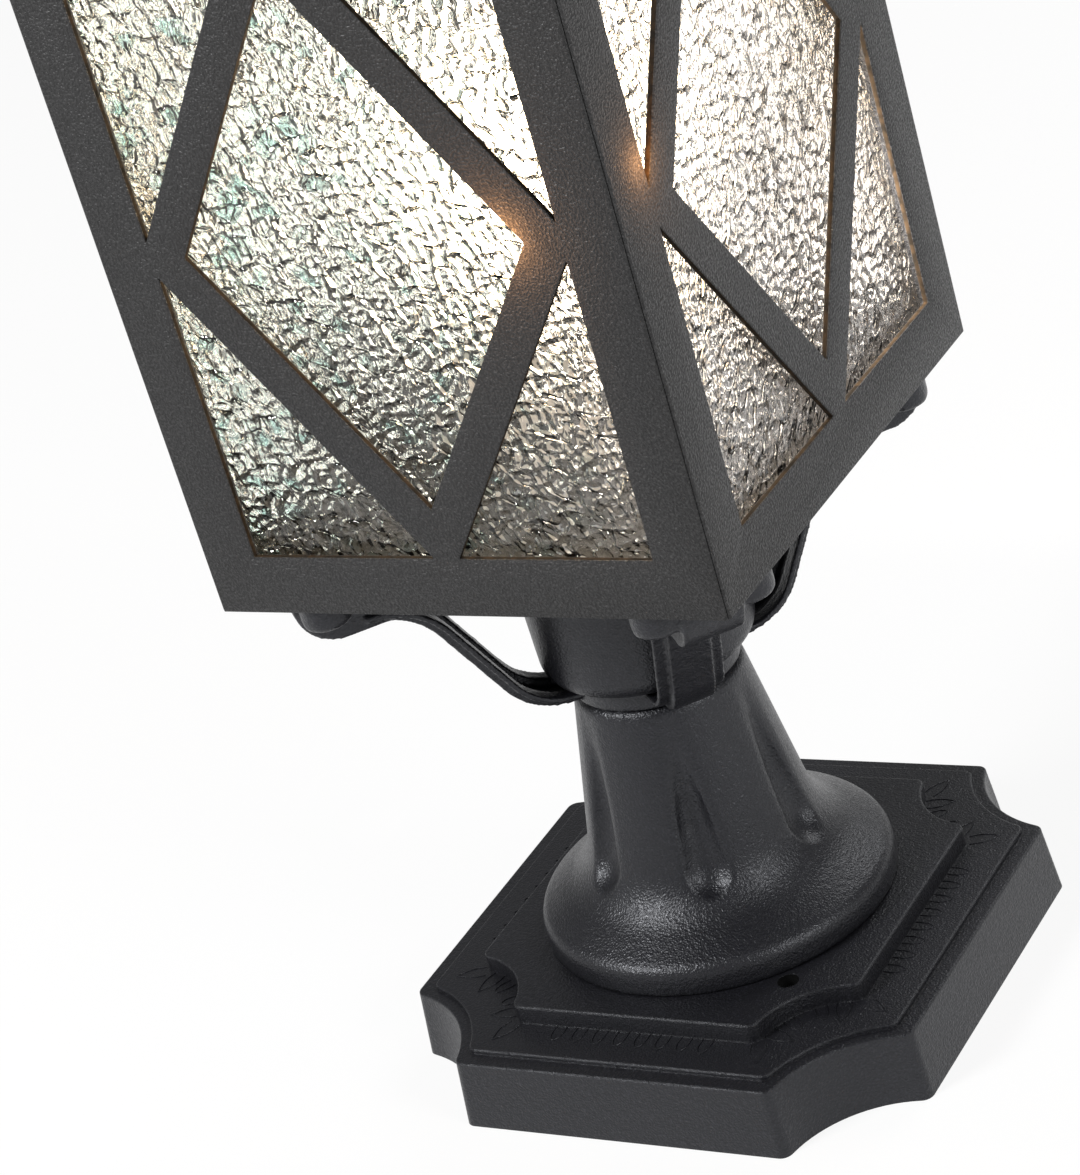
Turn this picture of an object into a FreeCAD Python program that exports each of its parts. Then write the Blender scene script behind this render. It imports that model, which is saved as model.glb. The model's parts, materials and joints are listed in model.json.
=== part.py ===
import FreeCAD, Part
import os
import re
import Sketcher

# Outdoor post lamp of the pier-mount kind: a stepped square base, a fluted flaring column, a cast yoke with
# four S-shaped arms, and a straight square lantern with sides cut to a lattice over rippled glass.
# Millimetres, +Z up, origin at the middle of the base's underside, the lantern's sides across X and Y.

SIZES = (
    ("base_width", 172, "pier base, width across the foot"),
    ("base_shoulder", 168.5, "pier base, width at the top of the tall lower wall"),
    ("base_wall", 22, "pier base, height of the tall lower wall"),
    ("scoop_centre", 91, "scooped corners of the two lower tiers, arc centre from the axis along X and Y"),
    ("scoop_radius", 37, "scooped corners at the foot, arc radius"),
    ("step_width", 158, "second tier, width"),
    ("step_height", 1.5, "second tier, height"),
    ("step_scoop", 42.5, "second tier, radius of the scooped corners"),
    ("tier_width", 129, "top tier, width"),
    ("tier_height", 6, "top tier, height"),
    ("tier_scoop_centre", 67, "top tier, arc centre of the scooped corners from the axis along X and Y"),
    ("tier_scoop", 26, "top tier, radius of the scooped corners"),
    ("base_shell", 4, "pier base, wall of the hollow casting"),
    ("tip_round", 3.5, "pier base, rounding of the upright edges beside the scoops"),
    ("edge_round", 0.6, "pier base, rounding of the upper edges"),
    ("anchor_circle", 119, "pier base, diameter of the circle through the two screw holes"),
    ("anchor_hole", 6.5, "pier base, diameter of the screw holes"),
    ("skirt_radius", 55, "column, radius of the skirt"),
    ("skirt_edge", 8.5, "column, height of the skirt's edge before rounding"),
    ("skirt_round", 5, "column, rounding of the skirt's edge"),
    ("flare_radius", 36.3, "column, radius where the shaft meets the skirt, before blending"),
    ("flare_height", 20.7, "column, height where the shaft meets the skirt, before blending"),
    ("flare_blend", 24, "column, radius of the blend between shaft and skirt"),
    ("column_height", 80.5, "column, height"),
    ("column_radius", 25.8, "column, radius of the shaft at its top"),
    ("column_round", 3, "column, rounding of the top edge"),
    ("column_wall", 5.5, "column, wall of the hollow casting"),
    ("column_cap", 6, "column, thickness of the closed top"),
    ("flute_count", 6, "column, number of flutes"),
    ("flute_radius", 9.7, "flute, radius of the scoop at its lower end"),
    ("flute_low", 30.5, "flute, height of the lower end's centre above the column's foot"),
    ("flute_reach", 41, "flute, distance of the lower end's centre from the axis"),
    ("flute_high", 74, "flute, height of the upper tip above the column's foot"),
    ("ring_radius", 25.5, "yoke, radius of the ring"),
    ("ring_height", 6.5, "yoke, height of the ring"),
    ("ring_wall", 5, "yoke, wall of the ring"),
    ("ring_web", 3.5, "yoke, thickness of the ring's web"),
    ("arm_root", 27, "yoke arm, distance from the axis where the arm starts to rise"),
    ("arm_lift", 2.3, "yoke arm, height of its root above the ring's underside"),
    ("arm_bend", 22, "yoke arm, radius of both bends along the rib's outer face"),
    ("arm_lap", 8, "yoke arm, length inside the foot"),
    ("rib_width", 12.8, "yoke arm, width of the rib"),
    ("rib_depth", 2.4, "yoke arm, depth of the rib below the flanges"),
    ("flange_width", 20.4, "yoke arm, width across the flanges"),
    ("flange_sheet", 1.8, "yoke arm, thickness of the flanges"),
    ("groove_width", 8.8, "yoke arm, width of the groove along the upper side"),
    ("groove_depth", 2.4, "yoke arm, depth of the groove along the upper side"),
    ("foot_drop", 18.5, "yoke foot, height of the middle lobe below the lantern's floor"),
    ("foot_behind", 15, "yoke foot, length from its screw to its inner end"),
    ("foot_ahead", 11.7, "yoke foot, length from its screw to its outer end"),
    ("foot_width", 18, "yoke foot, width of the middle lobe"),
    ("foot_round", 13, "yoke foot, rounding of the outer lower edge"),
    ("ear_drop", 10, "yoke foot, height of the side lobes below the lantern's floor"),
    ("ear_radius", 7.5, "yoke foot, radius of the side lobes"),
    ("ear_gap", 0.4, "yoke foot, gap between the side lobes and the side panels"),
    ("ear_spread", 13, "yoke foot, distance of the side lobes from the arm's middle plane"),
    ("ear_round", 2.5, "yoke foot, rounding of the side lobes' lower edge"),
    ("cup_height", 61.5, "hub cup, height"),
    ("cup_radius", 32.7, "hub cup, radius near its bottom"),
    ("cup_flare", 1.3, "hub cup, growth of the radius up to its rim"),
    ("cup_round", 7, "hub cup, rounding of the lower edge"),
    ("cup_wall", 2.5, "hub cup, wall"),
    ("floor_sheet", 2, "floor plate, sheet thickness"),
    ("floor_recess", 1, "floor plate, height above the panels' lower edge"),
    ("floor_clearance", 0.2, "floor plate, gap to the panels"),
    ("lip_height", 10, "lips that hold the panes, height"),
    ("lip_sheet", 1.5, "lips that hold the panes, sheet thickness"),
    ("lip_length", 104, "lips that hold the panes, length"),
    ("weep_hole", 4, "floor plate, diameter of the weep holes"),
    ("weep_distance", 50, "floor plate, distance of the weep holes from the axis"),
    ("lantern_width", 164, "lantern, width over the panels"),
    ("lantern_height", 220, "lantern, height of the panels"),
    ("panel_sheet", 2, "side panel, sheet thickness"),
    ("panel_edge", 1.2, "side panel, bevel along the upright corners"),
    ("stile_width", 18, "side panel, width of the upright stiles"),
    ("rail_height", 18, "side panel, height of the rails"),
    ("bar_width", 12, "side panel, width of the diagonal bars"),
    ("diamond_half", 53.1, "side panel, half width of the middle diamond's opening"),
    ("diamond_low", 33.2, "side panel, height of the diamond's lowest point above the panel's lower edge"),
    ("glass_thickness", 3, "glass pane, thickness"),
    ("glass_lap", 6, "glass pane, lap behind the stiles"),
    ("glass_clearance", 0.2, "glass pane, gap to what holds it"),
    ("glass_top_gap", 0.5, "glass pane, gap above its upper edge"),
    ("post_leg", 15, "corner post, leg of the angle"),
    ("post_sheet", 1.5, "corner post, sheet thickness"),
    ("post_foot", 20, "corner post, width of the foot"),
    ("foot_plate", 3, "corner post, thickness of the foot"),
    ("screw_inset", 5.7, "post screws, distance from the inner edges of the corner post's foot"),
    ("post_screw", 5, "post screws, diameter of the shank"),
    ("post_screw_head", 8.5, "post screws, diameter of the head"),
    ("post_screw_head_height", 4.5, "post screws, height of the head"),
    ("post_screw_grip", 8, "post screws, height of the yoke foot that they clamp"),
    ("post_screw_end", 2, "post screws, length above the corner post's foot"),
    ("screw_clearance", 0.3, "radial gap around screws, studs and the nipple in plain holes"),
    ("thread_clearance", 0.1, "radial gap in threaded holes"),
    ("frame_sheet", 2, "top frame, sheet thickness"),
    ("frame_opening", 116, "top frame, width of the square opening"),
    ("eave_overhang", 10, "roof, overhang of the eaves past the panels"),
    ("fascia_height", 8, "roof, height of the upright edge"),
    ("roof_rise", 55, "roof, rise of the slopes"),
    ("roof_flat", 22, "roof, width of the flat at the top"),
    ("roof_sheet", 1.5, "roof, sheet thickness"),
    ("roof_opening", 146, "roof, width of the opening between its returned lower edges"),
    ("bar_length", 140, "roof bar, length"),
    ("roof_bar_width", 16, "roof bar, width"),
    ("roof_bar_sheet", 3, "roof bar, thickness"),
    ("stud_diameter", 6, "roof stud, diameter"),
    ("stud_end", 2, "roof stud, length below its nut"),
    ("stud_grip", 14, "roof stud, length inside the finial"),
    ("roof_nut_flats", 10, "roof nut, width across flats"),
    ("roof_nut_height", 5, "roof nut, height"),
    ("finial_foot", 9.5, "finial, radius of the foot"),
    ("finial_foot_height", 3, "finial, height of the foot"),
    ("finial_neck", 5.5, "finial, radius of the neck"),
    ("finial_ball", 9, "finial, radius of the ball"),
    ("finial_height", 27, "finial, height"),
    ("nipple_diameter", 10, "centre nipple, outer diameter"),
    ("nipple_bore", 7, "centre nipple, bore"),
    ("nipple_end", 4, "centre nipple, length below the base nut"),
    ("nipple_grip", 9, "centre nipple, length inside the lamp holder"),
    ("nut_flats", 17, "base and floor nuts, width across flats"),
    ("nut_height", 5, "base and floor nuts, height"),
    ("washer_diameter", 28, "base and floor washers, diameter"),
    ("washer_thickness", 1.5, "base and floor washers, thickness"),
    ("holder_wall", 4.2, "lamp holder, wall around the screw shell"),
    ("holder_height", 44, "lamp holder, height"),
    ("holder_cavity", 27, "lamp holder, depth of the cavity for the bulb"),
    ("holder_round", 2.5, "lamp holder, rounding of the outer edges"),
    ("shell_radius", 14.2, "screw shell, outer radius"),
    ("shell_sheet", 0.8, "screw shell, sheet thickness"),
    ("shell_height", 24, "screw shell, height"),
    ("bulb_cap", 13, "bulb, radius of the cap"),
    ("bulb_cap_length", 27.5, "bulb, length of the cap"),
    ("bulb_tip", 6, "bulb, radius of the contact"),
    ("bulb_tip_height", 5, "bulb, height of the contact's cone"),
    ("bulb_neck", 15.5, "bulb, radius of the glass above the cap"),
    ("bulb_neck_height", 7, "bulb, height of the glass collar above the cap"),
    ("bulb_radius", 30, "bulb, radius of the globe"),
    ("bulb_length", 106, "bulb, length over all"),
    ("bulb_shoulder", 40, "bulb, degrees below the globe's middle where the neck meets it"),
)

# Heights and distances that follow from the sizes.
PLACES = {
    "base_draft": "(base_width - base_shoulder) / 2",
    "step_top": "base_wall + step_height",
    "base_top": "step_top + tier_height",
    "base_ceiling": "base_top - base_shell",
    "column_top": "base_top + column_height",
    "ring_top": "column_top + ring_height",
    "floor_bottom": "ring_top + cup_height",
    "floor_top": "floor_bottom + floor_sheet",
    "flute_tip": "column_radius + (flare_radius - column_radius) * (column_height - flute_high)"
                 " / (column_height - flare_height)",
    "flute_out": "flute_reach - flute_tip",
    "flute_fall": "flute_high - flute_low",
    "flute_run": "sqrt(flute_out ^ 2 + flute_fall ^ 2)",
    "flute_lean": "flute_radius / flute_run",
    "flute_level": "sqrt(1 - flute_lean ^ 2)",
    "flute_touch": "flute_radius * (flute_level * flute_fall - flute_lean * flute_out) / flute_run",
    "flute_rise": "flute_radius * (flute_level * flute_out + flute_lean * flute_fall) / flute_run",
    "lantern_half": "lantern_width / 2",
    "lantern_bottom": "floor_bottom - floor_recess",
    "lantern_top": "lantern_bottom + lantern_height",
    "frame_top": "lantern_top + frame_sheet",
    "roof_top": "frame_top + fascia_height + roof_rise",
    "arm_bottom": "column_top + arm_lift",
    "foot_bottom": "floor_bottom - foot_drop",
    "foot_inner": "post_screw_distance - foot_behind",
    "foot_outer": "post_screw_distance + foot_ahead",
    "arm_end": "foot_inner + arm_lap",
    "arm_span": "arm_end - arm_root",
    "arm_climb": "foot_bottom - arm_bottom - 2 * arm_bend",
    "arm_angle": "atan2(arm_climb; arm_span) + asin(2 * arm_bend / sqrt(arm_span ^ 2 + arm_climb ^ 2))",
    "ear_bottom": "floor_bottom - ear_drop",
    "screw_seat": "floor_bottom - post_screw_grip",
    "screw_offset": "lip_outer - post_foot + screw_inset",
    "post_screw_distance": "screw_offset * sqrt(2)",
    "ear_distance": "(panel_inner - ear_gap - ear_radius) * sqrt(2) - ear_spread",
    "bar_slope": "(lantern_height / 2 - diamond_low) / diamond_half",
    "bar_line": "diamond_low - bar_width * sqrt(1 + bar_slope ^ 2)",
    "panel_inner": "lantern_half - panel_sheet",
    "post_inner": "panel_inner - post_sheet",
    "pane_outer": "post_inner - glass_clearance",
    "pane_inner": "pane_outer - glass_thickness",
    "pane_half": "lantern_half - stile_width + glass_lap",
    "lip_outer": "pane_inner - glass_clearance",
    "cup_rim": "cup_radius + cup_flare",
    "lip_inner": "lip_outer - lip_sheet",
    "holder_bottom": "floor_top + washer_thickness + nut_height",
    "holder_top": "holder_bottom + holder_height",
    "holder_radius": "shell_radius + thread_clearance + holder_wall",
    "shell_bottom": "holder_top - holder_cavity",
    "bulb_bottom": "shell_bottom + glass_clearance",
    "nipple_hole": "nipple_diameter / 2 + screw_clearance",
    "stud_hole": "stud_diameter / 2 + screw_clearance",
    "screw_hole": "post_screw / 2 + screw_clearance",
}

doc = FreeCAD.newDocument("post_lamp")
sheet = doc.addObject("Spreadsheet::Sheet", "Sizes")
for row, (alias, number, note) in enumerate(SIZES, start=1):
    sheet.set(f"A{row}", note)
    sheet.set(f"B{row}", str(number))
    sheet.setAlias(f"B{row}", alias)
doc.recompute()

ALIASES = {alias for alias, number, note in SIZES}
NODES = []
CENTRE = FreeCAD.Vector(0, 0, 0)
UP = FreeCAD.Vector(0, 0, 1)
SAME_PLACE = 0.01
TO_CORNER = 45
SIDES = "4"
QUARTERS = (("front", 0), ("right", 90), ("back", 180), ("left", 270))


def bound(text):
    """Expression in which each named size points at its cell in the sheet."""
    def point(match):
        word = match.group()
        if word in PLACES:
            return "(" + bound(PLACES[word]) + ")"
        return "Sizes." + word if word in ALIASES else word
    return re.sub(r"[a-z][a-z_0-9]*", point, text)


def value(text):
    """Number that an expression of named sizes gives now."""
    return float(sheet.evalExpression(bound(text)))


def bind(item, **sizes):
    """Bind properties of a document object to expressions of named sizes."""
    for prop, text in sizes.items():
        item.setExpression(prop.replace("__", "."), bound(text))
    return item


def keep(item, label):
    """Give a finished sub-part its label and list it for writing."""
    item.Label = label
    NODES.append(item)
    return item


def sketch_on(body, name, role="XY_Plane", lift="0"):
    """Sketch on one of the body's own planes, lifted along that plane's normal."""
    sketch = body.newObject("Sketcher::SketchObject", name)
    plane = next(item for item in body.Origin.OriginFeatures if item.Role == role)
    sketch.AttachmentSupport = [(plane, "")]
    sketch.MapMode = "FlatFace"
    sketch.setExpression("AttachmentOffset.Base.z", bound(lift))
    return sketch


def fix(sketch, geometry, end, axis, text):
    """Hold one coordinate of a point at an expression of named sizes."""
    number = value(text)
    if abs(number) < 1e-7:
        sketch.addConstraint(Sketcher.Constraint("PointOnObject", geometry, end, -2 if axis == 0 else -1))
        return
    kind = "DistanceX" if axis == 0 else "DistanceY"
    index = sketch.addConstraint(Sketcher.Constraint(kind, -1, 1, geometry, end, number))
    sketch.setExpression(f"Constraints[{index}]", bound(text))


def chain(sketch, points, closed=True):
    """Outline or open path through points. A point is (x, y), or (x, y, centre x, centre y, turn) when an arc
    leads to it, with turn +1 for counter-clockwise and -1 for clockwise."""
    spots = [FreeCAD.Vector(value(point[0]), value(point[1]), 0) for point in points]
    ends = []
    for index in range(0 if closed else 1, len(points)):
        point, start, stop = points[index], spots[index - 1], spots[index]
        if len(point) == 2:
            ends.append((sketch.addGeometry(Part.LineSegment(start, stop), False), 1, 2))
            continue
        middle = FreeCAD.Vector(value(point[2]), value(point[3]), 0)
        whole = Part.Circle(middle, UP, (start - middle).Length)
        first, last = (start, stop) if point[4] > 0 else (stop, start)
        arc = Part.ArcOfCircle(whole, whole.parameter(first), whole.parameter(last))
        geometry = sketch.addGeometry(arc, False)
        ends.append((geometry, 1, 2) if point[4] > 0 else (geometry, 2, 1))
    joints = list(zip(ends, ends[1:] + ends[:1] if closed else ends[1:]))
    for (geometry, start, stop), following in joints:
        sketch.addConstraint(Sketcher.Constraint("Coincident", geometry, stop, following[0], following[1]))
    if not closed:
        fix(sketch, ends[0][0], ends[0][1], 0, points[0][0])
        fix(sketch, ends[0][0], ends[0][1], 1, points[0][1])
    for (geometry, start, stop), point in zip(ends, points if closed else points[1:]):
        fix(sketch, geometry, stop, 0, point[0])
        fix(sketch, geometry, stop, 1, point[1])
        if len(point) > 2:
            fix(sketch, geometry, 3, 0, point[2])
    return sketch


def axis_line(sketch, first, last):
    """Construction line that a turned feature uses as its axis."""
    ends = [FreeCAD.Vector(value(x), value(y), 0) for x, y in (first, last)]
    geometry = sketch.addGeometry(Part.LineSegment(*ends), True)
    for end, (x, y) in enumerate((first, last), start=1):
        fix(sketch, geometry, end, 0, x)
        fix(sketch, geometry, end, 1, y)
    return sketch


def rectangle(sketch, left, right, low, high):
    """Rectangle between four expressions."""
    return chain(sketch, [(left, low), (right, low), (right, high), (left, high)])


def square(sketch, half):
    """Square about the origin."""
    return rectangle(sketch, f"-({half})", half, f"-({half})", half)


def circle(sketch, radius, x="0", y="0"):
    """Circle bound to a radius and a place."""
    middle = FreeCAD.Vector(value(x), value(y), 0)
    geometry = sketch.addGeometry(Part.Circle(middle, UP, value(radius)), False)
    fix(sketch, geometry, 3, 0, x)
    fix(sketch, geometry, 3, 1, y)
    index = sketch.addConstraint(Sketcher.Constraint("Radius", geometry, value(radius)))
    sketch.setExpression(f"Constraints[{index}]", bound(radius))
    return sketch


def scooped_square(sketch, half, centre, radius):
    """Square outline whose corners are scooped by arcs about points on the diagonals."""
    tip = f"({centre}) - sqrt(({radius}) ^ 2 - (({centre}) - ({half})) ^ 2)"
    points = []
    for sign_x, sign_y, swap in ((1, 1, False), (-1, 1, True), (-1, -1, False), (1, -1, True)):
        pair = [(half, tip), (tip, half)]
        if swap:
            pair.reverse()
        line_end, arc_end = [(f"{sign_x} * ({x})", f"{sign_y} * ({y})") for x, y in pair]
        points.append(line_end)
        points.append((*arc_end, f"{sign_x} * ({centre})", f"{sign_y} * ({centre})", -1))
    return chain(sketch, points)


def new_body(name):
    """Empty body of the document."""
    return doc.addObject("PartDesign::Body", name)


def feature(body, kind, name, sketch, length=None, **settings):
    """Feature of a body from a sketch, with its length bound to an expression where it has one."""
    item = body.newObject("PartDesign::" + kind, name)
    item.Profile = sketch
    for prop, setting in settings.items():
        setattr(item, prop, setting)
    if length:
        bind(item, Length=length)
    sketch.Visibility = False
    doc.recompute()
    return item


def pad(body, name, sketch, length, **settings):
    """Pad along the sketch's normal."""
    return feature(body, "Pad", name, sketch, length, **settings)


def pocket(body, name, sketch, length, **settings):
    """Pocket against the sketch's normal, or along it when reversed."""
    return feature(body, "Pocket", name, sketch, length, **settings)


def drill(body, name, sketch):
    """Pocket right through, both ways."""
    return feature(body, "Pocket", name, sketch, Type="ThroughAll", SideType="Symmetric")


def spin(body, name, points):
    """Turned solid: a half section in the XZ plane about the Z axis."""
    sketch = chain(sketch_on(body, name + "Section", "XZ_Plane"), points)
    return feature(body, "Revolution", name, sketch, ReferenceAxis=(sketch, ["V_Axis"]), Angle=360.0)


def repeat(body, name, originals, count):
    """Polar pattern of features about the body's Z axis."""
    pattern = body.newObject("PartDesign::PolarPattern", name)
    pattern.Originals = originals
    axis = next(item for item in body.Origin.OriginFeatures if item.Role == "Z_Axis")
    pattern.Axis = (axis, [""])
    pattern.Angle = 360.0
    pattern.setExpression("Occurrences", bound(count))
    body.Tip = pattern
    doc.recompute()
    return pattern


def round_edges(body, name, radius, test):
    """Fillet on the edges of the body's present shape that pass a test."""
    base = body.Tip
    names = [f"Edge{index}" for index, edge in enumerate(base.Shape.Edges, start=1) if test(edge)]
    fillet = body.newObject("PartDesign::Fillet", name)
    fillet.Base = (base, names)
    fillet.setExpression("Radius", bound(radius))
    doc.recompute()
    return fillet


def near(first, second):
    """Whether two numbers agree closely enough to be the same place."""
    return abs(first - second) < SAME_PLACE


def level_edge(edge, text):
    """Whether an edge lies wholly at one height."""
    box = edge.BoundBox
    return near(box.ZMin, value(text)) and near(box.ZMax, value(text))


def rising_edge(edge, low, high):
    """Whether an edge runs from one height to another."""
    box = edge.BoundBox
    return near(box.ZMin, value(low)) and near(box.ZMax, value(high))


def tube(name, radius, bore, height, bottom):
    """Round tube along the axis."""
    outer = bind(doc.addObject("Part::Cylinder", name + "Outside"), Radius=radius, Height=height)
    inner = bind(doc.addObject("Part::Cylinder", name + "Bore"), Radius=bore, Height=height)
    cut = doc.addObject("Part::Cut", name)
    cut.Base = outer
    cut.Tool = inner
    return bind(cut, Placement__Base__z=bottom)


def hex_nut(name, flats, bore, height, bottom):
    """Hexagon nut on the axis."""
    prism = bind(doc.addObject("Part::Prism", name + "Hexagon"), Circumradius=f"{flats} / sqrt(3)",
                 Height=height)
    prism.Polygon = 6
    hole = bind(doc.addObject("Part::Cylinder", name + "Bore"), Radius=bore, Height=height)
    cut = doc.addObject("Part::Cut", name)
    cut.Base = prism
    cut.Tool = hole
    return bind(cut, Placement__Base__z=bottom)


def make_pier_base():
    """Hollow three-tier casting with scooped corners, a hole for the nipple and two screw holes."""
    body = new_body("PierBase")
    foot = scooped_square(sketch_on(body, "Foot"), "base_width / 2", "scoop_centre", "scoop_radius")
    wall = pad(body, "LowerTier", foot, "base_wall")
    lean = body.newObject("PartDesign::Draft", "LowerLean")
    sides = [f"Face{index}" for index, face in enumerate(wall.Shape.Faces, start=1)
             if face.BoundBox.ZLength > SAME_PLACE]
    lean.Base = (wall, sides)
    lean.NeutralPlane = (next(item for item in body.Origin.OriginFeatures if item.Role == "XY_Plane"), [""])
    bind(lean, Angle="atan2(base_draft; base_wall)")
    doc.recompute()
    round_edges(body, "LowerTips", "tip_round", lambda edge: rising_edge(edge, "0", "base_wall"))
    round_edges(body, "LowerEdge", "edge_round", lambda edge: level_edge(edge, "base_wall"))
    step = scooped_square(sketch_on(body, "Step", lift="base_wall"), "step_width / 2",
                          "scoop_centre", "step_scoop")
    pad(body, "StepTier", step, "step_height")
    round_edges(body, "StepTips", "tip_round", lambda edge: rising_edge(edge, "base_wall", "step_top"))
    round_edges(body, "StepEdge", "edge_round", lambda edge: level_edge(edge, "step_top"))
    tier = scooped_square(sketch_on(body, "Tier", lift="step_top"), "tier_width / 2",
                          "tier_scoop_centre", "tier_scoop")
    pad(body, "TopTier", tier, "tier_height")
    round_edges(body, "TopTips", "tip_round", lambda edge: rising_edge(edge, "step_top", "base_top"))
    round_edges(body, "TopEdge", "edge_round", lambda edge: level_edge(edge, "base_top"))
    lower_hollow = scooped_square(sketch_on(body, "LowerHollow"), "base_shoulder / 2 - base_shell",
                                  "scoop_centre", "scoop_radius + base_draft + base_shell")
    pocket(body, "LowerCavity", lower_hollow, "base_wall - base_shell", Reversed=True)
    upper_hollow = scooped_square(sketch_on(body, "UpperHollow"), "tier_width / 2 - base_shell",
                                  "tier_scoop_centre", "tier_scoop + base_shell")
    pocket(body, "UpperCavity", upper_hollow, "base_ceiling", Reversed=True)
    holes = circle(sketch_on(body, "Holes"), "nipple_hole")
    anchor = "anchor_circle / sqrt(8)"
    circle(holes, "anchor_hole / 2", anchor, f"-({anchor})")
    circle(holes, "anchor_hole / 2", f"-({anchor})", anchor)
    drill(body, "HoleCuts", holes)
    keep(body, "pier_base")


def make_column():
    """Hollow flaring casting with a round skirt and teardrop flutes."""
    body = new_body("Column")
    spin(body, "Casting", [
        ("skirt_radius", "base_top"),
        ("skirt_radius", "base_top + skirt_edge"),
        ("flare_radius", "base_top + flare_height"),
        ("column_radius", "column_top"),
        ("nipple_hole", "column_top"),
        ("nipple_hole", "column_top - column_cap"),
        ("column_radius - column_wall", "column_top - column_cap"),
        ("flare_radius - column_wall", "base_top + flare_height - column_wall"),
        ("skirt_radius - column_wall", "base_top + skirt_edge - column_wall"),
        ("skirt_radius - column_wall", "base_top")])
    round_edges(body, "SkirtRound", "skirt_round", lambda edge: level_edge(edge, "base_top + skirt_edge"))
    round_edges(body, "FlareBlend", "flare_blend", lambda edge: level_edge(edge, "base_top + flare_height"))
    round_edges(body, "TopRound", "column_round", lambda edge: level_edge(edge, "column_top")
                and near(edge.Curve.Radius, value("column_radius")))
    tip = ("flute_tip", "base_top + flute_high")
    low = ("flute_reach", "base_top + flute_low")
    side = ("flute_reach + flute_touch", "base_top + flute_low + flute_rise")
    end = ("flute_reach + flute_lean * flute_out", "base_top + flute_low - flute_lean * flute_fall")
    section = chain(sketch_on(body, "FluteSection", "XZ_Plane"), [tip, side, (*end, *low, -1)])
    axis_line(section, tip, end)
    flute = feature(body, "Groove", "Flute", section, ReferenceAxis=(section, ["Axis0"]), Angle=360.0)
    repeat(body, "Flutes", [flute], "flute_count")
    keep(body, "column")


def make_yoke():
    """One casting: a webbed ring and four S-shaped arms with a ribbed, grooved section and a lobed foot."""
    body = new_body("Yoke")
    spin(body, "Ring", [
        ("ring_radius", "column_top"),
        ("ring_radius", "ring_top"),
        ("nipple_hole", "ring_top"),
        ("nipple_hole", "ring_top - ring_web"),
        ("ring_radius - ring_wall", "ring_top - ring_web"),
        ("ring_radius - ring_wall", "column_top")])
    start = "ring_radius - ring_wall / 2"
    bend_x, bend_z = "arm_bend * sin(arm_angle)", "arm_bend * (1 - cos(arm_angle))"
    path = chain(sketch_on(body, "ArmPath", "XZ_Plane"), [
        (start, "arm_bottom"),
        ("arm_root", "arm_bottom"),
        (f"arm_root + {bend_x}", f"arm_bottom + {bend_z}", "arm_root", "arm_bottom + arm_bend", 1),
        (f"arm_end - {bend_x}", f"foot_bottom - {bend_z}"),
        ("arm_end", "foot_bottom", "arm_end", "foot_bottom - arm_bend", -1)], closed=False)
    rib, flange, groove = "rib_width / 2", "flange_width / 2", "groove_width / 2"
    under, upper = "arm_bottom + rib_depth", "arm_bottom + rib_depth + flange_sheet"
    half = [(rib, "arm_bottom"), (rib, under), (flange, under), (flange, upper), (groove, upper),
            (groove, f"{upper} - groove_depth")]
    mirrored = [(f"-({y})", z) for y, z in reversed(half)]
    section = chain(sketch_on(body, "ArmSection", "YZ_Plane", lift=start), half + mirrored)
    arm = feature(body, "AdditivePipe", "Arm", section, Spine=path)
    path.Visibility = False
    side = chain(sketch_on(body, "FootSide", "XZ_Plane"), [
        ("foot_inner", "foot_bottom"),
        ("foot_outer - foot_round", "foot_bottom"),
        ("foot_outer", "foot_bottom + foot_round", "foot_outer - foot_round", "foot_bottom + foot_round", 1),
        ("foot_outer", "floor_bottom"),
        ("foot_inner", "floor_bottom")])
    foot = pad(body, "Foot", side, "foot_width", SideType="Symmetric")
    ears = []
    for name, lift in (("NearEar", "ear_spread"), ("FarEar", "-ear_spread")):
        rim = "ear_distance + ear_radius"
        profile = chain(sketch_on(body, name + "Section", "XZ_Plane", lift=lift), [
            ("ear_distance", "ear_bottom"),
            (f"{rim} - ear_round", "ear_bottom"),
            (rim, "ear_bottom + ear_round", f"{rim} - ear_round", "ear_bottom + ear_round", 1),
            (rim, "floor_bottom"),
            ("ear_distance", "floor_bottom")])
        axis_line(profile, ("ear_distance", "ear_bottom"), ("ear_distance", "floor_bottom"))
        ears.append(feature(body, "Revolution", name, profile, ReferenceAxis=(profile, ["Axis0"]),
                            Angle=360.0))
    shank = circle(sketch_on(body, "ShankHole", lift="foot_bottom"), "screw_hole", "post_screw_distance")
    shank_cut = pocket(body, "ShankCut", shank, "foot_drop", Reversed=True)
    head = circle(sketch_on(body, "HeadHole", lift="foot_bottom"), "post_screw_head / 2 + screw_clearance",
                  "post_screw_distance")
    head_cut = pocket(body, "HeadCut", head, "screw_seat - foot_bottom", Reversed=True)
    repeat(body, "Arms", [arm, foot, *ears, shank_cut, head_cut], SIDES)
    body.Placement = FreeCAD.Placement(CENTRE, FreeCAD.Rotation(UP, TO_CORNER))
    keep(body, "yoke")


def make_hub_cup():
    """Round cup that stands on the yoke's ring and carries the middle of the floor."""
    body = new_body("HubCup")
    spin(body, "Cup", [
        ("nipple_hole", "ring_top"),
        ("cup_radius", "ring_top"),
        ("cup_rim", "floor_bottom"),
        ("cup_rim - cup_wall", "floor_bottom"),
        ("cup_radius - cup_wall", "ring_top + cup_wall"),
        ("nipple_hole", "ring_top + cup_wall")])
    round_edges(body, "LowerRound", "cup_round", lambda edge: level_edge(edge, "ring_top")
                and near(edge.Curve.Radius, value("cup_radius")))
    round_edges(body, "InnerRound", "cup_round - cup_wall",
                lambda edge: level_edge(edge, "ring_top + cup_wall")
                and near(edge.Curve.Radius, value("cup_radius - cup_wall")))
    keep(body, "hub_cup")


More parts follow.
